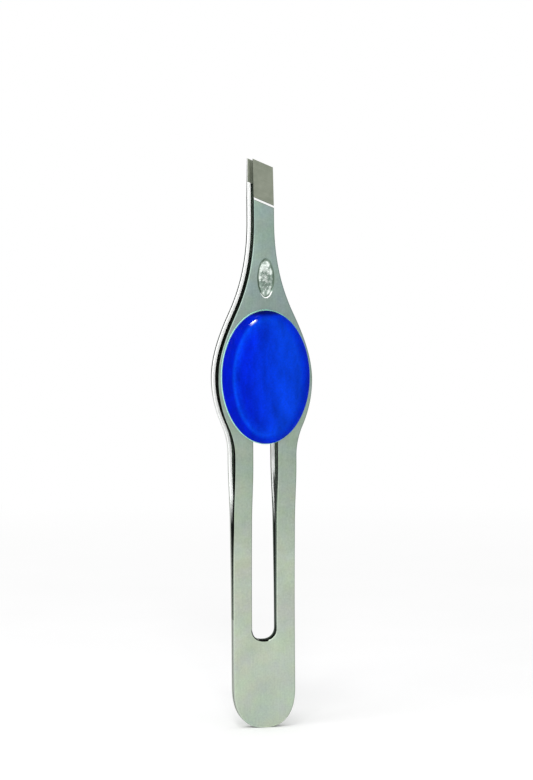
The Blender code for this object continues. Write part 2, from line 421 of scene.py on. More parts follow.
def satinSteel(name, look, roughness, paintedLight=1.0):
    # the last argument scales the whole colour: above 1 a painted highlight, below 1 painted shade
    finish = steelFinish(name)
    along = finish.ramp(finish.axis("Z") / totalLength, look["colours"])
    for first, second, size in look["tints"]:
        drift = finish.spread(finish.grain(size, 3.0), 0.0, 1.0, *core)
        along = finish.mixColour(1.0, along, finish.mixColour(drift, first, second), "MULTIPLY")
    clouds = finish.grain(look["cloudSize"], *cloudy)
    grain = finish.grain(look["grainSize"], *streaky)
    blast = finish.grain(look["blastSize"])
    low, high = paintedLight * (1 - look["cloudDepth"]), paintedLight * (1 + look["cloudDepth"])
    ofClouds, ofGrain, ofBlast = look["shares"]
    shade = finish.spread(clouds * ofClouds + grain * ofGrain + blast * ofBlast, low, high)
    finish.wear("Base Color", finish.shaded(along, shade))
    finish.wear("Roughness", finish.spread((clouds + grain) / 2, *roughness))
    finish.bump(grain * fineShare + blast * (1 - fineShare), look["scratchHeight"])
    return finish.material


# the ground tip: darker than the satin face, partly from its grinding and partly painted shade for the tilted
# bevel's reflection
ground = {
    "colour": (0.198, 0.221, 0.172),
    "pale": (0.276, 0.298, 0.240),
    "lineWidth": 0.035 * mm,
    "lineLength": 2.2 * mm,
    "roughness": (0.34, 0.48),
    "grainHeight": 0.003 * mm,
}


def groundSteel(look):
    # marks of the grinding wheel run along the slant of the tip
    finish = steelFinish("groundSteel")
    scale = (1 / look["lineLength"], 1 / look["lineWidth"], 1 / look["lineWidth"])
    turned = finish.place(turn=(0, -tip["slant"], 0))
    stretched = finish.node("ShaderNodeVectorMath", {"operation": "MULTIPLY"}, {0: turned, 1: scale})
    lines = finish.noise(stretched, 1.0, 4.0, 0.65)
    patches = finish.noise(turned, 2 / look["lineLength"])
    return finish.mottled(lines, patches, look)


paintedWall = {                        # side walls, left by the blanking press, with a painted reflection near the butt and painted shade, near black, where the arms part
    "colours": [
        (0.00, (0.400, 0.440, 0.380)),
        (0.22, (0.390, 0.430, 0.370)),
        (0.34, (0.012, 0.014, 0.012)),
        (0.92, (0.010, 0.012, 0.011)),
        (0.94, (0.150, 0.165, 0.135)),
        (1.00, (0.200, 0.220, 0.180)),
    ],
    "lineSize": (0.05 * mm, 0.80 * mm, 0.05 * mm),
    "grainShade": (0.75, 1.30),
    "roughness": (0.34, 0.55),
    "grainHeight": 0.006 * mm,
    "edgeShine": 0.0,
}

slotWall = dict(                   # painted shade: dark grey beside the slot, near black at its two ends
    paintedWall,
    colours=[
        (0.17, (0.008, 0.010, 0.008)),
        (0.19, (0.180, 0.225, 0.190)),
        (0.38, (0.180, 0.225, 0.190)),
        (0.45, (0.010, 0.013, 0.011)),
    ],
    edgeShine=0.30,
)


def shearedSteel(name, look):
    # the punch leaves fine lines through the thickness of the strip
    finish = steelFinish(name, look["edgeShine"])
    # the colours along the strip are painted light and shade
    along = finish.ramp(finish.axis("Z") / totalLength, look["colours"])
    return finish.streaked(along, finish.grain(look["lineSize"], *streaky), look)


margin = dict(                     # border of the inner faces, painted bright where the arms let light in and painted dark lower down
    paintedWall,
    colours=[
        (0.00, (0.010, 0.012, 0.011)),
        (0.36, (0.016, 0.019, 0.017)),
        (0.41, (0.950, 0.970, 0.950)),
        (1.00, (0.980, 0.990, 0.980)),
    ],
    roughness=(0.66, 0.78),
    grainHeight=0.002 * mm,
    edgeShine=1.0,
)

slotMargin = dict(                 # beside the slot its painted light starts higher up
    margin,
    colours=[
        (0.00, (0.010, 0.012, 0.011)),
        (0.40, (0.060, 0.066, 0.060)),
        (0.435, (0.110, 0.120, 0.110)),
        (0.455, (0.950, 0.970, 0.950)),
        (1.00, (0.980, 0.990, 0.980)),
    ],
)

sideRim = dict(                    # rounded edge on one side, dark where the arms shade each other
    paintedWall,
    colours=[
        (0.00, (0.500, 0.580, 0.490)),
        (0.30, (0.460, 0.530, 0.430)),
        (0.35, (0.014, 0.016, 0.014)),
        (0.62, (0.012, 0.014, 0.012)),
        (0.66, (0.290, 0.370, 0.320)),
        (1.00, (0.320, 0.430, 0.370)),
    ],
    roughness=(0.14, 0.24),
    grainHeight=0.002 * mm,
)

rearWall = dict(                   # the rear strip's sides, with a painted reflection of the white of the studio, painted dark higher up
    paintedWall,
    colours=[
        (0.20, (0.400, 0.440, 0.380)),
        (0.56, (0.780, 0.800, 0.770)),
        (0.64, (0.100, 0.115, 0.100)),
        (1.00, (0.090, 0.105, 0.090)),
    ],
    edgeShine=0.5,
)

sideWall = dict(                   # walls that lie in open light
    paintedWall,
    colours=[(0.0, (0.400, 0.440, 0.380)), (1.0, (0.300, 0.340, 0.310))],
    edgeShine=1.0,
)

rearSlotWall = dict(               # painted shade: dark up to where the arms part, then paler
    paintedWall,
    colours=[
        (0.40, (0.100, 0.130, 0.105)),
        (0.46, (0.220, 0.240, 0.210)),
        (1.00, (0.240, 0.260, 0.230)),
    ],
    edgeShine=0.30,
)

inside = {                         # the faces between the arms, which darken as they mirror each other
    "colour": (0.260, 0.300, 0.265),
    "pale": (0.340, 0.380, 0.340),
    "patchSize": 1.08 * mm,
    "grainSize": 0.09 * mm,
    "grainHeight": 0.001 * mm,
    "roughness": (0.12, 0.20),
    "edgeShine": 0.0,
}

cove = {                           # polished shoulder of the bevel, painted near white as a highlight
    "colour": (0.93, 0.95, 0.93),
    "pale": (0.99, 1.00, 0.99),
    "patchSize": 0.96 * mm,
    "grainSize": 0.08 * mm,
    "grainHeight": 0.001 * mm,
    "roughness": (0.08, 0.16),
    "edgeShine": 1.0,
}

coveLine = dict(                   # painted dark lines of shade beside it
    cove,
    colour=(0.020, 0.030, 0.026),
    pale=(0.060, 0.070, 0.060),
    grainHeight=0.002 * mm,
    roughness=(0.40, 0.55),
    edgeShine=0.0,
)


def plainSteel(name, look):
    finish = steelFinish(name, look["edgeShine"])
    return finish.mottled(finish.grain(look["grainSize"], *cloudy), finish.grain(look["patchSize"]), look)


# Strips

blank = {                          # both strips come from one blank, turned over for the rear one
    "handleLength": 46.2 * mm,     # butt to the start of the oval widening
    "wideningLength": 5.0 * mm,
    "ovalLowerLength": 7.7 * mm,
    "ovalUpperLength": 11.1 * mm,
    "flareLength": 15.4 * mm,
    "waistWidth": 12.7 * mm,
    "shoulderWidth": 9.7 * mm,
    "noseWidth": 3.4 * mm,
    "waistSlope": 0.44,
    "shoulderSlope": 0.47,
    "buttRound": 7.0 * mm,         # how far up the rounding of the butt reaches
    "squareness": 2.45,            # of that rounding: 2 is a true half ellipse
    "slotWidth": 4.2 * mm,
    "slotSquareness": 2.3,
    "buttPlate": 14.8 * mm,        # solid steel below the slot
    "slotUnderPad": 2.6 * mm,
    "darkShare": 1 / 3,            # of the slot's half width, up to which its end rims are painted dark as shade
    "edgeRound": 0.18 * mm,
    "marginWidth": 0.35 * mm,      # of the inner face's border that is painted bright
    "buttSteps": 28,
    "flankSteps": 16,
    "slotSteps": 14,
    "edgeSteps": 3,
    "bendRow": 0.55 * mm,          # between cuts across the strip, where it bends
    "row": 1.9 * mm,               # the same above the bend
    "plainRows": 3,                # rows that the tip goes without
    "smoothAngle": 35,
}

bend = {
    "parting": 18.4 * mm,          # butt to where the strips start to part
    "seatMargin": 0.3 * mm,        # straight steel between the bend and the pad
    "kickStart": 0.57,             # where the tighter bend lies, as shares of the bent length
    "kickLength": 0.32,
    "kickShare": 0.5,              # part of the spread that the tighter bend gives
    "cageSteps": 60,
    "cageMargin": 2 * mm,          # how far the lattice reaches past the bend
    "turnReach": 3 * mm,           # each side of the flexure line, where the arm's turn fades in
}

facing = {                         # how faces are told apart, by their normals
    "flat": 0.99,                  # part along Y of its flat faces, at least
    "mostly": 0.9,                 # part along an axis of faces that look that way, at least
    "partly": 0.5,                 # the same with rounded edges
    "wall": 0.02,                  # part along Y of its side walls, at most
    "side": 0.3,                   # part along X of walls and edges that face left or right
    "farSide": 0.2,                # the same for all facets of a rounded edge
}
slantNormal = Vector((math.sin(tip["slant"]), 0, math.cos(tip["slant"])))


def smoothStep(share):
    share = min(max(share, 0), 1)
    return share * share * (3 - 2 * share)


def hermite(start, end, startRate, endRate, share):
    square, cube = share ** 2, share ** 3
    return ((2 * cube - 3 * square + 1) * start + (cube - 2 * square + share) * startRate
            + (3 * square - 2 * cube) * end + (cube - square) * endRate)


def tipHeight(x):
    return totalLength - (x + blank["noseWidth"] / 2) * math.tan(tip["slant"])


def flankPoints():
    # right-hand edge of the blank, from the top of the handle to the nose
    waistZ = blank["handleLength"] + blank["wideningLength"]
    ovalZ = waistZ + blank["ovalLowerLength"]
    shoulderZ = ovalZ + blank["ovalUpperLength"]
    stations = [
        (blank["handleLength"], heelHigh.x, 0),
        (waistZ, blank["waistWidth"] / 2, blank["waistSlope"]),
        (ovalZ, armHigh.x, 0),
        (shoulderZ, blank["shoulderWidth"] / 2, -blank["shoulderSlope"]),
        (shoulderZ + blank["flareLength"], blank["noseWidth"] / 2, 0),
    ]
    points = []
    for (low, lowWidth, lowSlope), (high, highWidth, highSlope) in zip(stations, stations[1:]):
        rise = high - low
        for step in range(blank["flankSteps"]):
            share = step / blank["flankSteps"]
            width = hermite(lowWidth, highWidth, lowSlope * rise, highSlope * rise, share)
            points.append((width, low + rise * share))
    points.append((blank["noseWidth"] / 2, stations[-1][0]))
    return points


def corner(steps, squareness):
    # shares of the width and of the height, from the centre line round to the side
    turns = [math.pi / 2 * step / steps for step in range(steps + 1)]
    power = 2 / squareness
    return [(math.sin(turn) ** power, max(math.cos(turn), 0) ** power) for turn in turns]


def buttPoints():
    # right half of the rounded butt, from the centre line up to the side
    points = corner(blank["buttSteps"], blank["squareness"])
    return [(heelHigh.x * across, blank["buttRound"] * (1 - up)) for across, up in points]


def slotEnd(centreZ, direction):
    # quarter round from the slot's side to the centre line
    radius = blank["slotWidth"] / 2
    points = corner(blank["slotSteps"], blank["slotSquareness"])
    return [(radius * across, centreZ + direction * radius * up) for up, across in points]


def blankOutline():
    # right half of the blank, once round: butt, side, nose, centre line, slot, centre line
    radius = blank["slotWidth"] / 2
    above = totalLength + blank["noseWidth"]
    upper = slotEnd(padLow.z + blank["slotUnderPad"] - radius, 1)
    lower = slotEnd(blank["buttPlate"] + radius, -1)
    top = [(blank["noseWidth"] / 2, above), (0, above)]
    return buttPoints() + flankPoints() + top + upper[::-1] + lower


def openCentre(piece):
    # takes away the walls on the centre line, where the two halves meet
    pick(piece, "FACE", lambda face: abs(face.normal.x) > facing["mostly"] and abs(face.center.x) < slack)
    bpy.ops.mesh.delete(type="FACE")
    leaveEdit()


def roundRims(piece):
    # rounds every edge where a face of the strip meets its side walls
    walls = {}
    for face in piece.data.polygons:
        for key in face.edge_keys:
            walls.setdefault(key, []).append(abs(face.normal.y) > facing["mostly"])

    def isRim(edge):
        sides = walls[tuple(sorted(edge.vertices))]
        return True in sides and False in sides

    pick(piece, "EDGE", isRim)
    bpy.ops.mesh.bevel(
        offset=blank["edgeRound"], offset_type="OFFSET", segments=blank["edgeSteps"],
        profile=0.5, affect="EDGES", clamp_overlap=False)
    leaveEdit()


def cutAcross(piece, heights, normal):
    # cuts the strip's faces at heights on its centre line
    pickAll(piece)
    for height in heights:
        selectWhole()
        bpy.ops.mesh.bisect(plane_co=(0, 0, height), plane_no=normal, threshold=hair)
    leaveEdit()


def rowHeights():
    # where the strip is cut across, so that it can bend
    bendEnd = padLow.z - bend["seatMargin"]
    bends = round((bendEnd - bend["parting"]) / blank["bendRow"])
    plain = int((totalLength - bendEnd) / blank["row"]) - blank["plainRows"]
    across = [bend["parting"] + (bendEnd - bend["parting"]) * step / bends for step in range(bends + 1)]
    above = [bendEnd + blank["row"] * (row + 1) for row in range(plain)]
    return across + above


def trimTip(piece):
    # cuts the nose off along the slant
    pickAll(piece)
    bpy.ops.mesh.bisect(
        plane_co=(0, 0, tipHeight(0)), plane_no=slantNormal, use_fill=True, clear_outer=True, threshold=hair)
    leaveEdit()


def wheelProfile():
    # what the grinding wheel takes off, as (height from the tip, depth from the inner face)
    start = -tip["bevelLength"] - tip["shoulderLength"]
    floor = steelThickness - tip["shoulderDepth"]
    points = []
    for step in range(tip["shoulderSteps"] + 1):
        share = step / tip["shoulderSteps"]
        sink = tip["shoulderDepth"] * share + tip["shoulderHollow"] * 4 * share * (1 - share)
        points.append((start + tip["shoulderLength"] * share, steelThickness - sink))
    beyond = tip["bevelLength"] / 2
    fall = (floor - tip["edge"]) / tip["bevelLength"]
    points.append((beyond, tip["edge"] - fall * beyond))
    points.append((beyond, 2 * steelThickness))
    points.append((start, 2 * steelThickness))
    return points


def grindingWheel(finish):
    # a bar of the wheel's profile, laid along the slant
    across = Vector((math.cos(tip["slant"]), 0, -math.sin(tip["slant"]))) * tip["wheelWidth"]
    points = [Vector((0, -depth, tipHeight(0) + height)) for height, depth in wheelProfile()]
    wheel = drawLoop("grindingWheel", points)
    moveBy(-across / 2)
    extrudeBy(across)
    cleanShell(wheel, hair)
    wheel.data.materials.append(finish)
    return wheel


def parted(z):
    # how far a strip has left the joint face at a height
    glide = (z - bend["parting"]) / (padLow.z - bend["seatMargin"] - bend["parting"])
    kick = (glide - bend["kickStart"]) / bend["kickLength"]
    share = bend["kickShare"] * smoothStep(kick) + (1 - bend["kickShare"]) * smoothStep(glide)
    return share * (openHalf - seamHalf)


def belowTip(place):
    return tipHeight(place.x) - place.z


def raiseJaw(piece):
    # the inner face stands proud inside the tip, up to a slanted step
    step = tip["jawLength"] + tip["jawStep"]
    cutAcross(piece, [tipHeight(0) - step, tipHeight(0) - tip["jawLength"]], slantNormal)
    inner = -tip["edge"] / 2
    reach = tip["jawLength"] + weldReach
    pick(piece, "VERT", lambda vert: vert.co.y > inner and belowTip(vert.co) < reach)
    moveBy((0, tip["jawRaise"], 0))
    leaveEdit()

    def isJaw(face):
        return face.normal.y > facing["partly"] and belowTip(face.center) < step

    giveFinish(piece, steels["ground"], isJaw)


def bendCage():
    # a lattice whose rows follow the side shape of a bent strip
    steps = bend["cageSteps"]
    low, high = bend["parting"] - bend["cageMargin"], padLow.z + bend["cageMargin"]
    bpy.ops.object.add(type="LATTICE", location=(0, -steelThickness / 2, (low + high) / 2))
    cage = bpy.context.object
    cage.scale = (2 * armHigh.x, steelThickness, high - low)
    cage.data.points_u, cage.data.points_v, cage.data.points_w = 2, 2, steps
    for axis in "uvw":
        setattr(cage.data, f"interpolation_type_{axis}", "KEY_LINEAR")
    for row in range(steps):
        z = low + (high - low) * row / (steps - 1)
        probe = blank["edgeRound"] / 2
        lean = math.atan2(parted(z + probe) - parted(z - probe), 2 * probe)
        for side in range(2):      # 0 is the outer face, 1 the inner one
            depth = steelThickness * (1 - side)
            shiftY = -parted(z) + depth * (1 - math.cos(lean))
            shiftZ = -depth * math.sin(lean)
            for column in range(2):
                point = cage.data.points[row * 4 + side * 2 + column]
                point.co_deform.y += shiftY / cage.scale.y
                point.co_deform.z += shiftZ / cage.scale.z
    return cage


def isWall(face):
    return abs(face.normal.y) < facing["wall"]


def isOuterRim(face):
    return -facing["flat"] <= face.normal.y <= -facing["wall"]


def finishRegions(piece):
    # the flat strip's faces, walls and rounded edges, some with painted light and shade, and a border inside
    # painted bright
    slotHalf = blank["slotWidth"] / 2 + slack
    rimHalf = slotHalf + blank["edgeRound"]
    slotLow = blank["buttPlate"] - slack
    slotHigh = padLow.z + blank["slotUnderPad"] + slack

    def isSlotWall(face):
        return isWall(face) and abs(face.center.x) < slotHalf and slotLow < face.center.z < slotHigh

    def isSlotEndRim(face):
        nearEnd = 0 < face.center.z - slotLow + blank["edgeRound"] < slotHalf
        return isOuterRim(face) and nearEnd and abs(face.center.x) < rimHalf

    def isDarkRim(face):
        return isSlotEndRim(face) and face.center.x < slotHalf * blank["darkShare"]

    def isSideRim(face):
        steep = isOuterRim(face) and face.normal.y > -facing["mostly"]
        return steep and face.normal.x < -facing["side"] and abs(face.center.x) > rimHalf

    def isSlotMargin(face):
        nearSlot = abs(face.center.x) < rimHalf + blank["marginWidth"]
        return nearSlot and wears(piece, face, steels["margin"])

    def isInner(face):
        return face.normal.y > facing["flat"]

    rules = {
        "rim": isOuterRim,
        "farRim": lambda face: isOuterRim(face) and face.normal.x > facing["farSide"],
        "innerRim": lambda face: facing["wall"] <= face.normal.y <= facing["flat"],
        "wall": isWall,
        "slotWall": isSlotWall,
        "sideWall": lambda face: isWall(face) and face.normal.x > facing["side"],
        "face": isSlotEndRim,
        "sideRim": isSideRim,
        "margin": isInner,
    }
    for place, rule in rules.items():
        giveFinish(piece, steels[place], rule)
    # painted shade on the slot's end rims, up to that share of its half width
    giveFinish(piece, steels["slotWall"], isDarkRim)
    pick(piece, "FACE", isInner)
    bpy.ops.mesh.inset(thickness=blank["marginWidth"], depth=0)
    finishPicked(piece, steels["inside"])
    giveFinish(piece, steels["slotMargin"], isSlotMargin)


def finishButt(piece):
    # the walls below the place where the strips part, but not those of the slot
    def isButtWall(face):
        return face.center.z < bend["parting"] and wears(piece, face, steels["wall"])

    giveFinish(piece, steels["sideWall"], isButtWall)


def finishTip(piece):
    # the end is ground, and the shoulder of the bevel has a painted highlight between two painted dark lines
    # of shade
    shoulderEnd = tip["bevelLength"] + tip["shoulderLength"]

    def isShoulder(face):
        outside = face.center.y < -steelThickness / 2 and abs(face.normal.x) < facing["partly"]
        return outside and tip["bevelLength"] < belowTip(face.center) < shoulderEnd

    def isLine(face):
        toEnd = min(belowTip(face.center) - tip["bevelLength"], shoulderEnd - belowTip(face.center))
        return isShoulder(face) and toEnd < tip["lineWidth"]

    giveFinish(piece, steels["ground"], lambda face: face.normal.dot(slantNormal) > facing["flat"])
    giveFinish(piece, steels["cove"], isShoulder)
    giveFinish(piece, steels["lines"], isLine)


def makeStrip(name):
    piece = drawLoop(name, [(x, 0, z) for x, z in blankOutline()])
    extrudeBy((0, -steelThickness, 0))
    cleanShell(piece, weldReach)
    openCentre(piece)
    applyModifier(piece, "MIRROR", {"use_axis": (True, False, False), "merge_threshold": weldReach})
    cleanShell(piece, weldReach)
    roundRims(piece)
    for finish in steels.values():
        piece.data.materials.append(finish)
    finishRegions(piece)
    cutAcross(piece, rowHeights(), (0, 0, 1))
    finishButt(piece)
    trimTip(piece)
    carve(piece, grindingWheel(steels["ground"]))
    finishTip(piece)
    raiseJaw(piece)
    cage = bendCage()
    applyModifier(piece, "LATTICE", {"object": cage})
    bpy.data.objects.remove(cage)
    pickAll(piece)
    moveBy((0, -seamHalf, 0))
    leaveEdit()
    settle(piece, blank["smoothAngle"])
    print(name, "made,", len(piece.data.polygons), "faces")
    return piece


def turnOver(piece, name):
    made = copyPiece(piece, name)
    pickAll(made)
    scaleBy((1, -1, 1))
    bpy.ops.mesh.normals_make_consistent(inside=False)
    leaveEdit()
    return made


steels = {
    "face": satinSteel("satinSteel", satin, satin["roughness"]),
    "rim": satinSteel("rimSteelPaintedHighlight", satin, rim["roughness"], rim["paintedLight"]),
    "farRim": satinSteel("farRimSteelPaintedShade", satin, rim["roughness"], rim["farPaintedShade"]),
    "wall": shearedSteel("wallSteelPaintedShade", paintedWall),
    "slotWall": shearedSteel("slotWallSteelPaintedShade", slotWall),
    "sideWall": shearedSteel("sideWallSteel", sideWall),
    "sideRim": shearedSteel("sideRimSteel", sideRim),
    "innerRim": plainSteel("innerRimSteel", inside),
    "margin": shearedSteel("marginSteelPaintedLight", margin),
    "slotMargin": shearedSteel("slotMarginSteelPaintedLight", slotMargin),
    "inside": plainSteel("insideSteel", inside),
    "ground": groundSteel(ground),
    "cove": plainSteel("coveSteelPaintedHighlight", cove),
    "lines": plainSteel("coveLineSteelPaintedShade", coveLine),
}


# Stamp

stamp = {                          # a plain stippled oval in the front strip's neck
    "centre": Vector((0.2 * mm, 0, 75.9 * mm)),
    "width": 2.9 * mm,
    "length": 6.7 * mm,
    "depth": 0.16 * mm,
    "slope": 0.19 * mm,            # width of its sloping wall
    "segments": 96,
    "pipRadius": 0.21 * mm,
    "pipSink": 0.12 * mm,          # of a pip's centre below the floor
    "pitch": 0.58 * mm,
    "smoothAngle": 35,
}

stampFloor = {
    "colour": (0.260, 0.340, 0.290),
    "pale": (0.800, 0.870, 0.820),
    "blotchSize": 0.95 * mm,
    "blotchRange": (0.40, 0.60),
    "rings": [                     # share of the way from the floor's middle to its edge, and the shade painted there, darkest at the foot of the wall
        (0.00, (0.72, 0.72, 0.72)),
        (0.58, (0.78, 0.78, 0.78)),
        (0.70, (1.00, 1.00, 1.00)),
        (0.88, (1.00, 1.00, 1.00)),
        (0.95, (0.30, 0.36, 0.31)),
    ],
    "roughness": (0.34, 0.48),
    "grainHeight": 0.004 * mm,
}

stampWall = {
    "colours": [                   # painted light and shade, from the shaded upper end to the lower one, painted near white as a highlight
        (0.00, (0.280, 0.370, 0.320)),
        (0.22, (0.240, 0.320, 0.270)),
        (0.42, (0.120, 0.170, 0.130)),
        (0.66, (0.130, 0.185, 0.140)),
        (0.80, (0.260, 0.350, 0.300)),
        (0.84, (0.950, 1.000, 0.970)),
    ],
    "lean": (0.03, -0.45),         # how the painted light and shade run across and up
    "grainShade": (0.85, 1.15),
    "grainSize": 0.15 * mm,
    "grainHeight": 0.002 * mm,
    "roughness": (0.52, 0.64),
}


def inStamp(finish, slope):
    # how far to the right and up a point lies in the oval inside a slope, where 1 is its edge
    across = (finish.axis("X") - stamp["centre"].x) / (stamp["width"] / 2 - slope)
    up = (finish.axis("Z") - stamp["centre"].z) / (stamp["length"] / 2 - slope)
    return across, up


def stampFloorSteel(look):
    finish = steelFinish("stampFloorSteel")
    across, up = inStamp(finish, stamp["slope"])
    blotches = finish.grain(look["blotchSize"], 2.0, 0.6)
    share = finish.spread(blotches, 0.0, 1.0, *look["blotchRange"])
    colour = finish.mixColour(share, look["colour"], look["pale"])
    ring = finish.ramp((across * across + up * up).root(), look["rings"])
    finish.wear("Base Color", finish.mixColour(1.0, colour, ring, "MULTIPLY"))
    return finish.textured(blotches, look)


def stampWallSteel(look):
    # the wall's colour is painted light and shade, by which way each part of it faces
    finish = steelFinish("stampWallSteel", 0.0)
    across, up = inStamp(finish, 0.0)
    toX, toZ = look["lean"]
    colour = finish.ramp(across * toX + up * toZ + 0.5, look["colours"])
    return finish.streaked(colour, finish.grain(look["grainSize"], 3.0), look)


def pipPlaces():
    # staggered places inside the floor of the oval
    halfWidth = stamp["width"] / 2 - stamp["slope"] - stamp["pipRadius"]
    halfLength = stamp["length"] / 2 - stamp["slope"] - stamp["pipRadius"]
    rowRise = stamp["pitch"] * math.sqrt(3) / 2
    rows = int(halfLength / rowRise)
    places = []
    for row in range(-rows, rows + 1):
        shift = stamp["pitch"] / 2 * (row % 2)
        for column in range(-rows, rows + 1):
            x, z = column * stamp["pitch"] + shift, row * rowRise
            if (x / halfWidth) ** 2 + (z / halfLength) ** 2 <= 1:
                places.append(Vector((x, 0, z)))
    return places


def makePips(floor):
    pips = startPoint("pips")
    bpy.ops.mesh.delete(type="VERT")
    for place in pipPlaces():
        middle = floor + place + Vector((0, stamp["pipSink"], 0))
        bpy.ops.mesh.primitive_ico_sphere_add(subdivisions=2, radius=stamp["pipRadius"], location=middle)
    leaveEdit()
    return pips


def stampFace(piece):
    middle = stamp["centre"] - Vector((0, openHalf + steelThickness, 0))
    bpy.ops.mesh.primitive_cylinder_add(
        vertices=stamp["segments"], radius=1, depth=2 * stamp["depth"], location=(0, 0, 0),
        rotation=(math.pi / 2, 0, 0))
    punch = named("punch")
    applyPlace()
    reach = 2 * stamp["slope"]     # the wall slopes on as far outside the face as inside
    wide = (stamp["width"] / 2 + stamp["slope"], stamp["length"] / 2 + stamp["slope"])
    narrow = (wide[0] - reach, wide[1] - reach)
    for (width, length), side in ((wide, -1), (narrow, 1)):
        pick(punch, "VERT", lambda vert: vert.co.y * side > 0)
        scaleBy((width, 1, length))
        leaveEdit()
    punch.location = middle
    settle(punch, stamp["smoothAngle"])
    floorSteel, wallSteelPaintedShade = stampFloorSteel(stampFloor), stampWallSteel(stampWall)
    for finish in (floorSteel, wallSteelPaintedShade):
        punch.data.materials.append(finish)
    giveFinish(punch, wallSteelPaintedShade, lambda face: abs(face.normal.y) < facing["mostly"])
    carve(punch, makePips(middle + Vector((0, stamp["depth"], 0))), "INDEX")
    carve(piece, punch)
    settle(piece, stamp["smoothAngle"])
    print("stamped,", len(piece.data.polygons), "faces")


frontStrip = makeStrip("front_strip")
rearStrip = turnOver(frontStrip, "rear_strip")
rearSteels = {                     # what the rear strip wears in their place
    "wall": shearedSteel("rearWallSteelPaintedReflection", rearWall),
    "slotWall": shearedSteel("rearSlotWallSteelPaintedShade", rearSlotWall),
    "innerRim": steels["margin"],
    "sideRim": steels["rim"],
}
for place, finish in rearSteels.items():
    rearStrip.data.materials[list(steels).index(place)] = finish
stampFace(frontStrip)
for word, piece in (("front", frontStrip), ("rear", rearStrip)):
    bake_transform(piece)
    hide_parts(f"{word}_heel", f"{word}_arm")


# Grip pads

padMiddle = (padLow.z + padHigh.z) / 2

pad = {
    "wall": 0.35 * mm,
    "shoulderWidth": 1.5 * mm,     # at the sides of the pad
    "shoulderLength": 0.95 * mm,   # at its ends
    "shoulderHeight": 1.1 * mm,
    "shoulderTurn": math.radians(55),
    "shoulderSteps": 14,
    "crown": 0.55 * mm,
    "crownSteps": 10,
    "segments": 144,
    "smoothAngle": 40,
}


def padRings():
    # (half width, half length, height) of each ring from the foot to the last one before the top
    halfWidth, halfLength = padHigh.x, (padHigh.z - padLow.z) / 2
    turns = [pad["shoulderTurn"] * step / pad["shoulderSteps"] for step in range(pad["shoulderSteps"] + 1)]
    rings = [(halfWidth, halfLength, 0)]
    for turn in turns:
        across = (1 - math.cos(turn)) / (1 - math.cos(pad["shoulderTurn"]))
        up = math.sin(turn) / math.sin(pad["shoulderTurn"])
        rings.append((
            halfWidth - pad["shoulderWidth"] * across,
            halfLength - pad["shoulderLength"] * across,
            pad["wall"] + pad["shoulderHeight"] * up))
    edgeWidth, edgeLength, edge = rings[-1]
    for step in range(1, pad["crownSteps"]):
        share = 1 - step / pad["crownSteps"]
        rings.append((edgeWidth * share, edgeLength * share, edge + pad["crown"] * (1 - share ** 2)))
    return rings


def makePad(name, finish):
    bpy.ops.mesh.primitive_circle_add(
        vertices=pad["segments"], radius=1, fill_type="NGON", location=(0, 0, 0),
        rotation=(math.pi / 2, 0, 0))
    piece = named(name)
    applyPlace()
    pickAll(piece)
    rings = padRings()
    scaleBy((rings[0][0], 1, rings[0][1]))
    for (width, length, height), (nextWidth, nextLength, nextHeight) in zip(rings, rings[1:]):
        extrudeBy((0, height - nextHeight, 0))
        scaleBy((nextWidth / width, 1, nextLength / length))
    extrudeBy((0, 0, 0))
    bpy.ops.mesh.merge(type="CENTER")
    top = rings[-1][2] - pad["wall"] - pad["shoulderHeight"] - pad["crown"]
    moveBy((0, top, 0))
    selectWhole()
    moveBy((0, padHigh.y, padMiddle))
    cleanShell(piece, hair)
    piece.data.materials.append(finish)
    settle(piece, pad["smoothAngle"])
    print(name, "made,", len(piece.data.polygons), "faces")
    return piece


gel = {
    "leftColours": [               # share of the way from the middle over the crown's edge, and colour, with painted light and shade
        (0.00, (0.0006, 0.024, 0.575)),
        (0.58, (0.0003, 0.015, 0.560)),
        (0.68, (0.0005, 0.030, 0.640)),
        (0.73, (0.0008, 0.054, 0.720)),  # painted highlight on the soft crease at the edge of the crown
        # the shoulder beyond it, painted dark as shade
        (0.78, (0.0003, 0.012, 0.500)),
        (0.95, (0.0001, 0.006, 0.400)),
    ],
    # the right side: no painted highlight on the crease, its shoulder painted dark
    "rightColours": [
        (0.00, (0.0010, 0.036, 0.560)),
        (0.72, (0.0014, 0.042, 0.575)),
        (0.80, (0.0006, 0.028, 0.570)),
        (0.95, (0.0001, 0.010, 0.440)),
    ],
    "reach": 1.3,                  # how far the colours reach, in half sizes of the crown
    "waver": 0.06,                 # how far they wander from that
    "sides": (-0.5, 0.4),          # where the left colours end and the right ones begin
    "topShade": 0.25,              # at its upper end, where it turns away from the light
    "topRange": (1.00, 1.05),      # where that shade sets in and is full
    "patch": Vector((-2.9 * mm, 0, -3.4 * mm)),  # a darker place in the gel's lower left, from the pad's middle
    "patchSize": 2.6 * mm,
    "patchStretch": 2.0,
    "patchShade": 0.80,
    "cloudSize": (2.0 * mm, 2.0 * mm, 5.0 * mm),
    "cloudDepth": 0.26,
    "glint": Vector((-2.3 * mm, 0, 9.2 * mm)),   # a glossier streak on the crease, from the pad's middle
    "glintReach": (0.35 * mm, 0.80 * mm),
    "glintWidth": (0.010, 0.030),  # in half sizes of the crown
    "crease": 0.985,               # its place, in the same measure
    "grainSize": 0.30 * mm,        # of the fine cloudiness
    "grainDepth": 0.10,
    "rippleSize": 0.5 * mm,
    "rippleHeight": 0.006 * mm,
    "roughness": (0.10, 0.22),
}


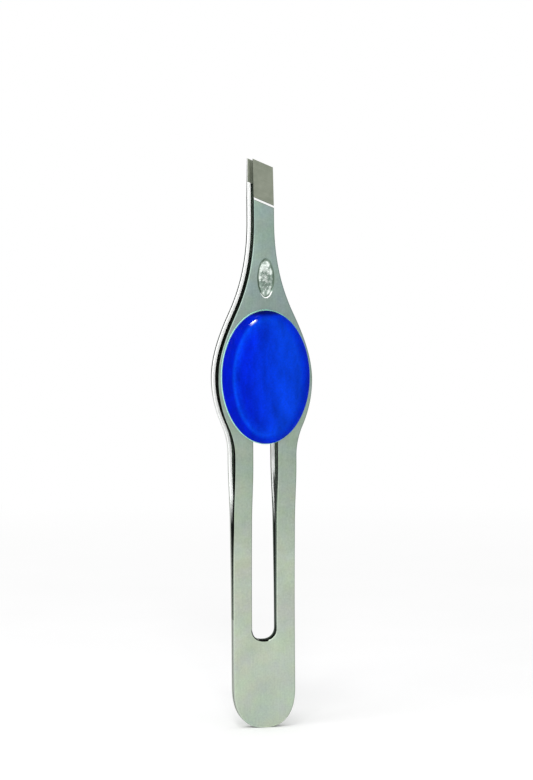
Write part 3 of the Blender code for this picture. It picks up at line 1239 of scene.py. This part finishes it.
def gelFinish(look):
    # clear blue gel: almost all of its light comes from inside
    finish = Finish("gel", {"Specular IOR Level": 0.02, "IOR": 1.45, "Coat Roughness": 0.12, "Coat IOR": 3.6})
    crownWidth, crownLength = padRings()[pad["shoulderSteps"] + 1][:2]
    across = finish.axis("X") / crownWidth
    up = (finish.axis("Z") - padMiddle) / crownLength
    away = (across * across + up * up).root()
    clouds = finish.grain(look["cloudSize"], *cloudy)
    ring = away / look["reach"] + (clouds - 0.5) * look["waver"]
    left, right = (finish.ramp(ring, look[key]) for key in ("leftColours", "rightColours"))
    colour = finish.mixColour(finish.spread(across, 0.0, 1.0, *look["sides"]), left, right)
    top = finish.spread(up, 1.0, look["topShade"], *look["topRange"])

    def distanceTo(spot, stretch=1.0):
        toX = finish.axis("X") - spot.x
        toZ = (finish.axis("Z") - (padMiddle + spot.z)) / stretch
        return (toX * toX + toZ * toZ).root()

    fromPatch = distanceTo(look["patch"], look["patchStretch"])
    patch = finish.spread(fromPatch, look["patchShade"], 1.0, 0.0, look["patchSize"])
    grain = finish.grain(look["grainSize"])
    fine = finish.spread(grain, 1 - look["grainDepth"], 1 + look["grainDepth"])
    deep = finish.spread(clouds, 1 - look["cloudDepth"], 1 + look["cloudDepth"])
    # the colour carries painted light and shade: the crease's highlight, the dark shoulder and the shaded top
    finish.wear("Base Color", finish.shaded(colour, top * patch * fine * deep))
    fromCrease = away - look["crease"]
    onCrease = finish.spread((fromCrease * fromCrease).root(), 1.0, 0.0, *look["glintWidth"])
    inReach = finish.spread(distanceTo(look["glint"]), 1.0, 0.0, *look["glintReach"])
    finish.wear("Coat Weight", onCrease * inReach)
    finish.roughen(clouds, look)
    finish.bump(finish.grain(look["rippleSize"]), look["rippleHeight"])
    return finish.material


film = {                           # the adhesive film shows as a thin mint line round the pad
    "colour": (0.14, 0.46, 0.40),
    "pale": (0.52, 1.00, 0.74),
    "sideShift": (0.55, -0.35),    # it is paler on the left
    "shareRange": (0.3, 0.9),
    "patchSize": 1.4 * mm,
    "roughness": (0.30, 0.50),
    "grainHeight": 0.004 * mm,
}


def filmFinish(look):
    finish = Finish("film", {"Specular IOR Level": 0.4})
    patches = finish.grain(look["patchSize"], *cloudy)
    toLeft = finish.spread(finish.axis("X"), *look["sideShift"], padLow.x, padHigh.x)
    finish.twoTone(finish.spread(patches + toLeft, 0.0, 1.0, *look["shareRange"]), look)
    return finish.textured(patches, look)


frontPad = makePad("front_pad", gelFinish(gel))
rearPad = turnOver(frontPad, "rear_pad")
for word, piece in (("front", frontPad), ("rear", rearPad)):
    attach(piece, f"{word}_arm")
    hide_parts(f"{word}_gel_pad")


# Finishes of the frame's own pieces

weld = {
    "colour": (0.30, 0.29, 0.27),
    "pale": (0.46, 0.45, 0.42),
    "patchSize": 2.40 * mm,
    "grainSize": 0.20 * mm,
    "grainHeight": 0.010 * mm,
    "roughness": (0.50, 0.70),
    "edgeShine": 1.0,
}


def finishNodes(names, finish):
    for name in names:
        mesh = frame["nodes"][name].data
        mesh.materials.clear()
        mesh.materials.append(finish)


finishNodes(["front_pad_backing", "rear_pad_backing"], filmFinish(film))
finishNodes(["spot_weld_lower", "spot_weld_upper"], plainSteel("weldSteel", weld))
print("frame's own pieces finished")


# Camera, light and ground

camera = {
    "azimuth": -11.49,
    "height": 105.2 * mm,
    "distance": 567.7 * mm,
    "aim": Vector((0.87 * mm, 0, 56.97 * mm)),
    "roll": math.radians(-0.40),
    "lens": 157,
    "clipStart": 10 * mm,
}


def placeRound(middle, distance, azimuth, elevation=0.0):
    # the angles are in degrees, from the front and from the level
    azimuth, elevation = math.radians(azimuth), math.radians(elevation)
    level = distance * math.cos(elevation)
    away = (level * math.sin(azimuth), -level * math.cos(azimuth), distance * math.sin(elevation))
    return Vector([start + step for start, step in zip(middle, away)])


def addFacing(name, data, place, target):
    # a camera or lamp that looks at a point
    made = bpy.data.objects.new(name, data)
    bpy.context.scene.collection.objects.link(made)
    made.location = place
    made.rotation_euler = (target - place).to_track_quat("-Z", "Y").to_euler()
    return made


def setCamera(look):
    middle = Vector((look["aim"].x, 0, look["height"]))
    place = placeRound(middle, look["distance"], look["azimuth"])
    made = addFacing("photoCamera", bpy.data.cameras.new("photoCamera"), place, look["aim"])
    made.rotation_euler.rotate_axis("Z", look["roll"])
    made.data.lens = look["lens"]
    made.data.clip_start = look["clipStart"]
    bpy.context.scene.camera = made


lampDistance = 620 * mm            # from the middle of the tweezers

lamps = {
    "sideLamp": {"azimuth": -62, "elevation": 24, "size": 420 * mm, "brightness": 1.6},
    "highLamp": {"azimuth": -22, "elevation": 62, "size": 110 * mm, "brightness": 13.0},
    "glintLamp": {"azimuth": -9, "elevation": 27, "size": 110 * mm, "brightness": 15.0},
}


def addLamp(name, look):
    # brightness is that of the lamp's face, where 1 is white
    light = bpy.data.lights.new(name, "AREA")
    light.shape = "SQUARE"
    light.size = look["size"]
    light.energy = look["brightness"] * math.pi * look["size"] ** 2
    middle = Vector((0, 0, totalLength / 2))
    place = placeRound(middle, lampDistance, look["azimuth"], look["elevation"])
    addFacing(name, light, place, middle)


studioFloor = {
    "size": 6.0,
    "colour": (0.99, 0.99, 0.99),
    "nearEnd": 80 * mm,            # the floor is lit up to here, and plain white from farEnd on
    "farEnd": 320 * mm,
    "mottleSize": 30 * mm,
    "mottleShade": (0.985, 1.0),
}
worldLevel = 0.81                  # of the light that falls on things, where 1 is white


def addFloor(look):
    bpy.ops.mesh.primitive_plane_add(size=look["size"], location=(0, 0, 0))
    floor = named("paleFloor")
    finish = Finish("paleFloor", {"Roughness": 0.9, "Specular IOR Level": 0.0})
    mottle = finish.spread(finish.grain(look["mottleSize"]), *look["mottleShade"])
    finish.wear("Base Color", finish.shaded(look["colour"], mottle))
    x, y = finish.axis("X"), finish.axis("Y")
    away = (x * x + y * y).root()
    far = finish.spread(away, 0.0, 1.0, look["nearEnd"], look["farEnd"]) * finish.shownRay()
    white = finish.node("ShaderNodeEmission", {}, {"Color": (1, 1, 1, 1), "Strength": 1.0})
    lit = Wire(finish, finish.shader.outputs[0])
    mixed = finish.node("ShaderNodeMixShader", {}, {0: far, 1: lit, 2: white})
    finish.feed(finish.tree.nodes["Material Output"].inputs["Surface"], mixed)
    floor.data.materials.append(finish.material)


def setWorld(level):
    world = bpy.data.worlds.new("whiteStudio")
    world.use_nodes = True
    bpy.context.scene.world = world
    sky = Graph(world.node_tree)
    background = world.node_tree.nodes["Background"]
    background.inputs["Color"].default_value = (1, 1, 1, 1)
    sky.feed(background.inputs["Strength"], sky.shownRay() * (1 - level) + level)


setCamera(camera)
for name, look in lamps.items():
    addLamp(name, look)
addFloor(studioFloor)
setWorld(worldLevel)
bpy.context.scene.view_settings.view_transform = "Standard"
print("camera, lamps and floor set")
